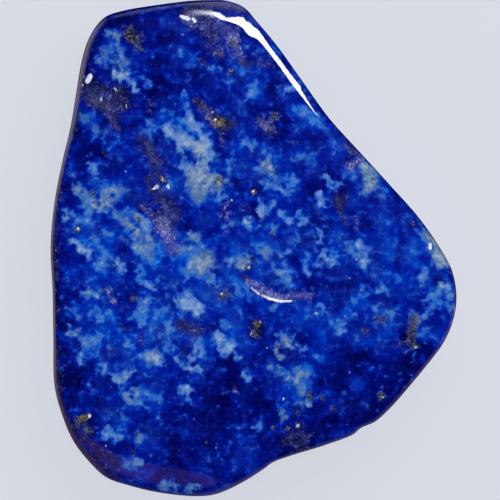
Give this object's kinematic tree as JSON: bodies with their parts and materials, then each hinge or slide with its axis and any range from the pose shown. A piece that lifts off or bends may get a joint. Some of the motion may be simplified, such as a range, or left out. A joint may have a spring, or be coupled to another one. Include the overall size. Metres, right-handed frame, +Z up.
{
  "type": "flat tumble-polished lapis lazuli nugget",
  "caption": "Flat, rounded, wedge-shaped nugget of deep blue lapis lazuli with a polished face, pale calcite mottling and fine gold pyrite grains, lying on its back.",
  "frame": {"origin": "under the middle of the stone's bounding box, on the surface that it rests on", "axes": "+Z up, out of the polished face; +Y along the stone towards its narrow end; +X across it towards the blunt corner"},
  "size_m": [0.0212, 0.026, 0.006],
  "materials": {
    "lapis_lazuli": "polished deep blue stone with pale calcite mottling, dark purple pitted grains and scattered gold pyrite"
  },
  "bodies": {
    "root": {"lapis_stone": "lapis_lazuli"}
  },
  "joints": []
}
